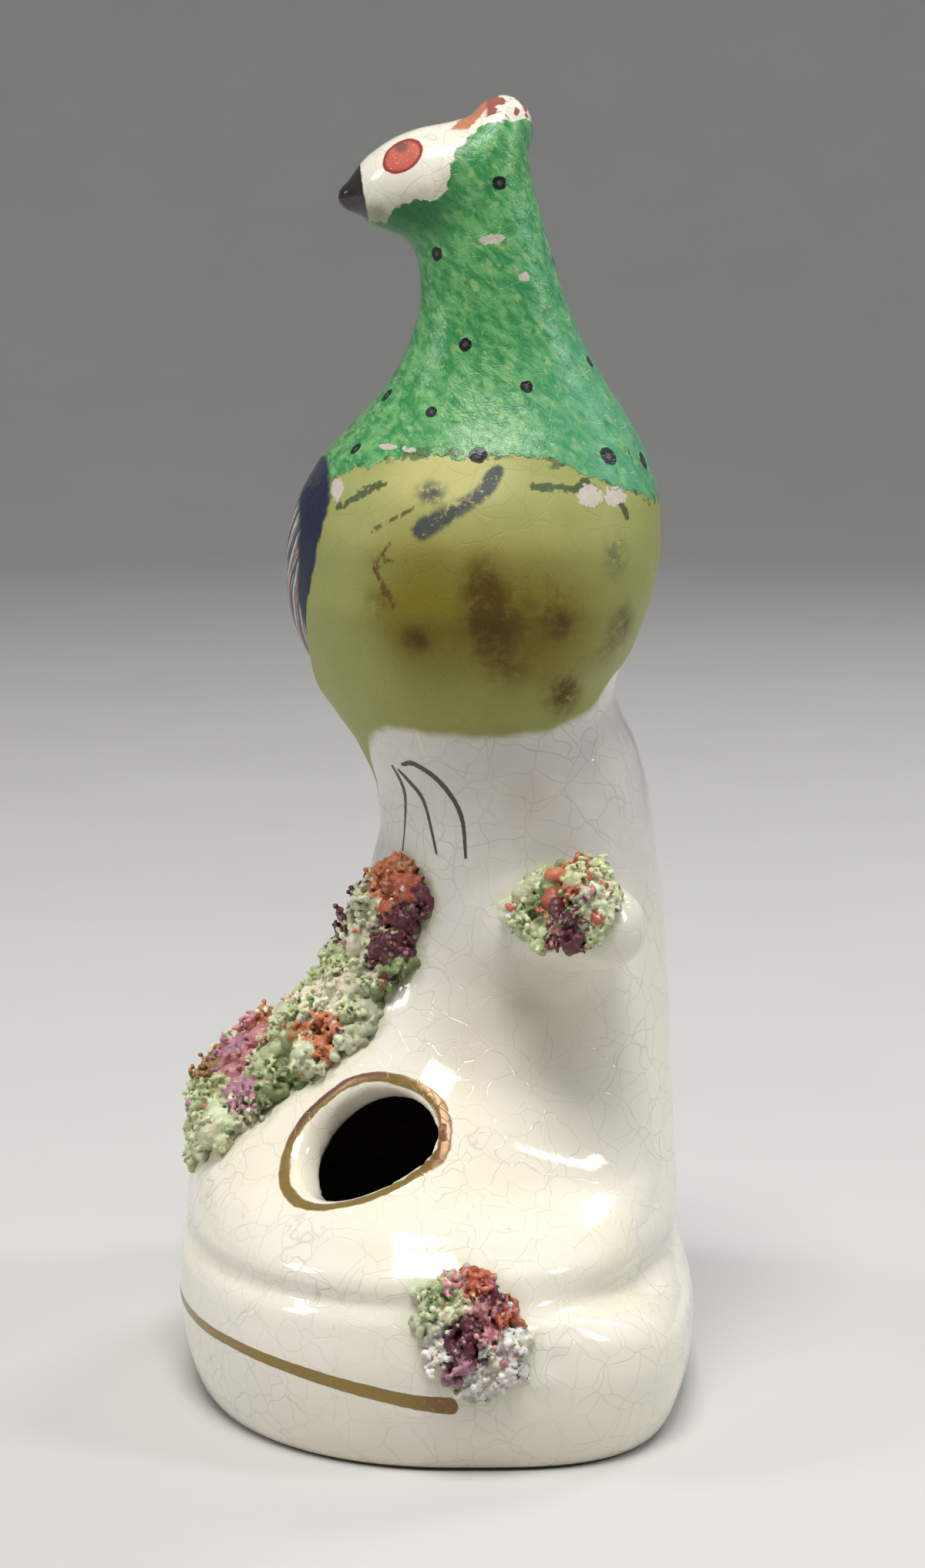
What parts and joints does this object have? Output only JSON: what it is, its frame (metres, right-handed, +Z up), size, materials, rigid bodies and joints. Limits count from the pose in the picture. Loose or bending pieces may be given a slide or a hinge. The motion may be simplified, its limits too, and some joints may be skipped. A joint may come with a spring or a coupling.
{
  "type": "flatback bird figure",
  "caption": "Hollow glazed earthenware bird with turned head on a tree trunk over an oval plinth, with moss clusters and a round pen hole.",
  "frame": {"origin": "middle of the plinth's flat underside", "axes": "+Z up, -Y the decorated front that the head turns to, +Y the flat back, +X the end that the breast faces"},
  "size_m": [0.0974, 0.064, 0.1562],
  "materials": {
    "glazed_earthenware": "glossy cream glaze, faint crazing, painted green, yellow, blue, brown and gilt",
    "clay_moss": "coarse shredded clay, coloured green, orange, maroon, pink and cream"
  },
  "bodies": {
    "root": {"bird_figure": "glazed_earthenware", "moss_front_slope": "clay_moss", "moss_branch": "clay_moss", "moss_plinth_end": "clay_moss"}
  },
  "joints": []
}
